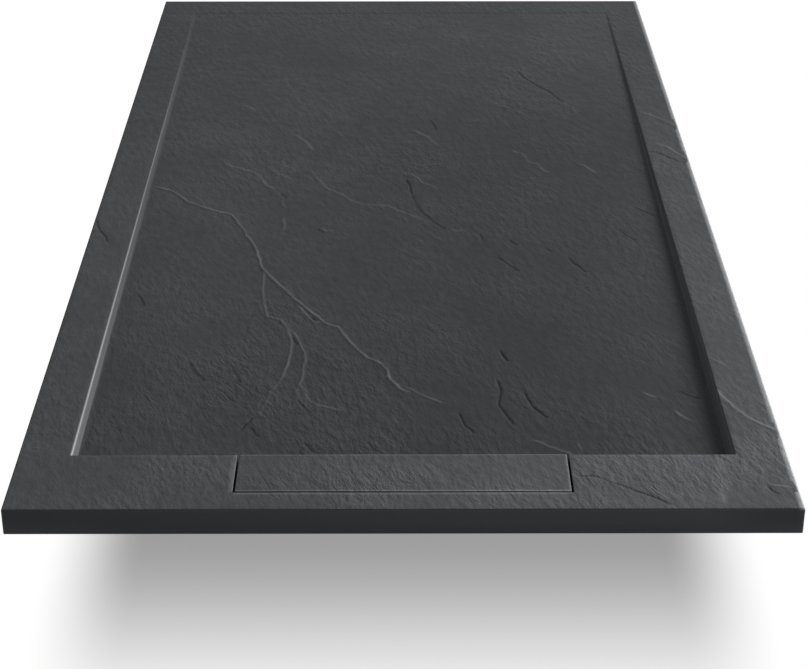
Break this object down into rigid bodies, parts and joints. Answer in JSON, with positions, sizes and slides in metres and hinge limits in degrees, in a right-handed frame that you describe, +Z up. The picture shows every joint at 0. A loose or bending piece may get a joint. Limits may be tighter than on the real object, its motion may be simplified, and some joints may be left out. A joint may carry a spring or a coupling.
{
  "type": "shower tray",
  "caption": "Long low shower tray in dark slate-effect cast resin, with a raised rim, a floor falling to one end and a hidden drain under a flush lift-off cover of the same finish.",
  "frame": {"origin": "middle of the tray's flat underside, which is bedded on the bathroom floor", "axes": "+X to the right seen from the drain end, +Y from the drain end to the far end, +Z up"},
  "size_m": [0.8, 1.6, 0.1248],
  "materials": {
    "slate_resin": "matt anthracite gelcoat cast from split slate",
    "backing_steel": "plain rolled stainless sheet",
    "black_rubber": "matt moulded rubber",
    "waste_steel": "polished stainless steel",
    "strainer_steel": "pierced stainless sheet, polished",
    "white_plastic": "moulded white polypropylene",
    "grey_plastic": "moulded grey polypropylene"
  },
  "bodies": {
    "tray": {"tray_body": "slate_resin", "cover_post_pads": "black_rubber", "waste_flange": "waste_steel", "flange_seal": "black_rubber", "underside_seal": "black_rubber", "trap_body": "white_plastic", "outlet_seal": "black_rubber", "outlet_nut": "grey_plastic"},
    "cover": {"drain_cover": "slate_resin", "cover_backing_plate": "backing_steel", "cover_edge_pads": "black_rubber"},
    "strainer": {"hair_strainer": "strainer_steel", "strainer_knob": "waste_steel"},
    "siphon": {"dip_tube": "grey_plastic", "dip_tube_o_ring": "black_rubber"},
    "outlet": {"outlet_pipe": "white_plastic"}
  },
  "joints": [
    {"name": "cover_lift", "type": "slide", "parent": "tray", "child": "cover", "axis": [0, 0, 1], "range_m": [0, 0.25]},
    {"name": "strainer_lift", "type": "slide", "parent": "tray", "child": "strainer", "axis": [0, 0, 1], "range_m": [0, 0.15]},
    {"name": "siphon_lift", "type": "slide", "parent": "tray", "child": "siphon", "axis": [0, 0, 1], "range_m": [0, 0.1125]},
    {"name": "outlet_swing", "type": "hinge", "parent": "tray", "child": "outlet", "pos_m": [0, -0.6601, -0.03725], "axis": [0, 0, 1], "range_deg": [-12, 12]}
  ],
  "couplings": [
    {"joint": "strainer_lift", "follows": "cover_lift", "ratio": 0.6},
    {"joint": "siphon_lift", "follows": "cover_lift", "ratio": 0.45}
  ]
}
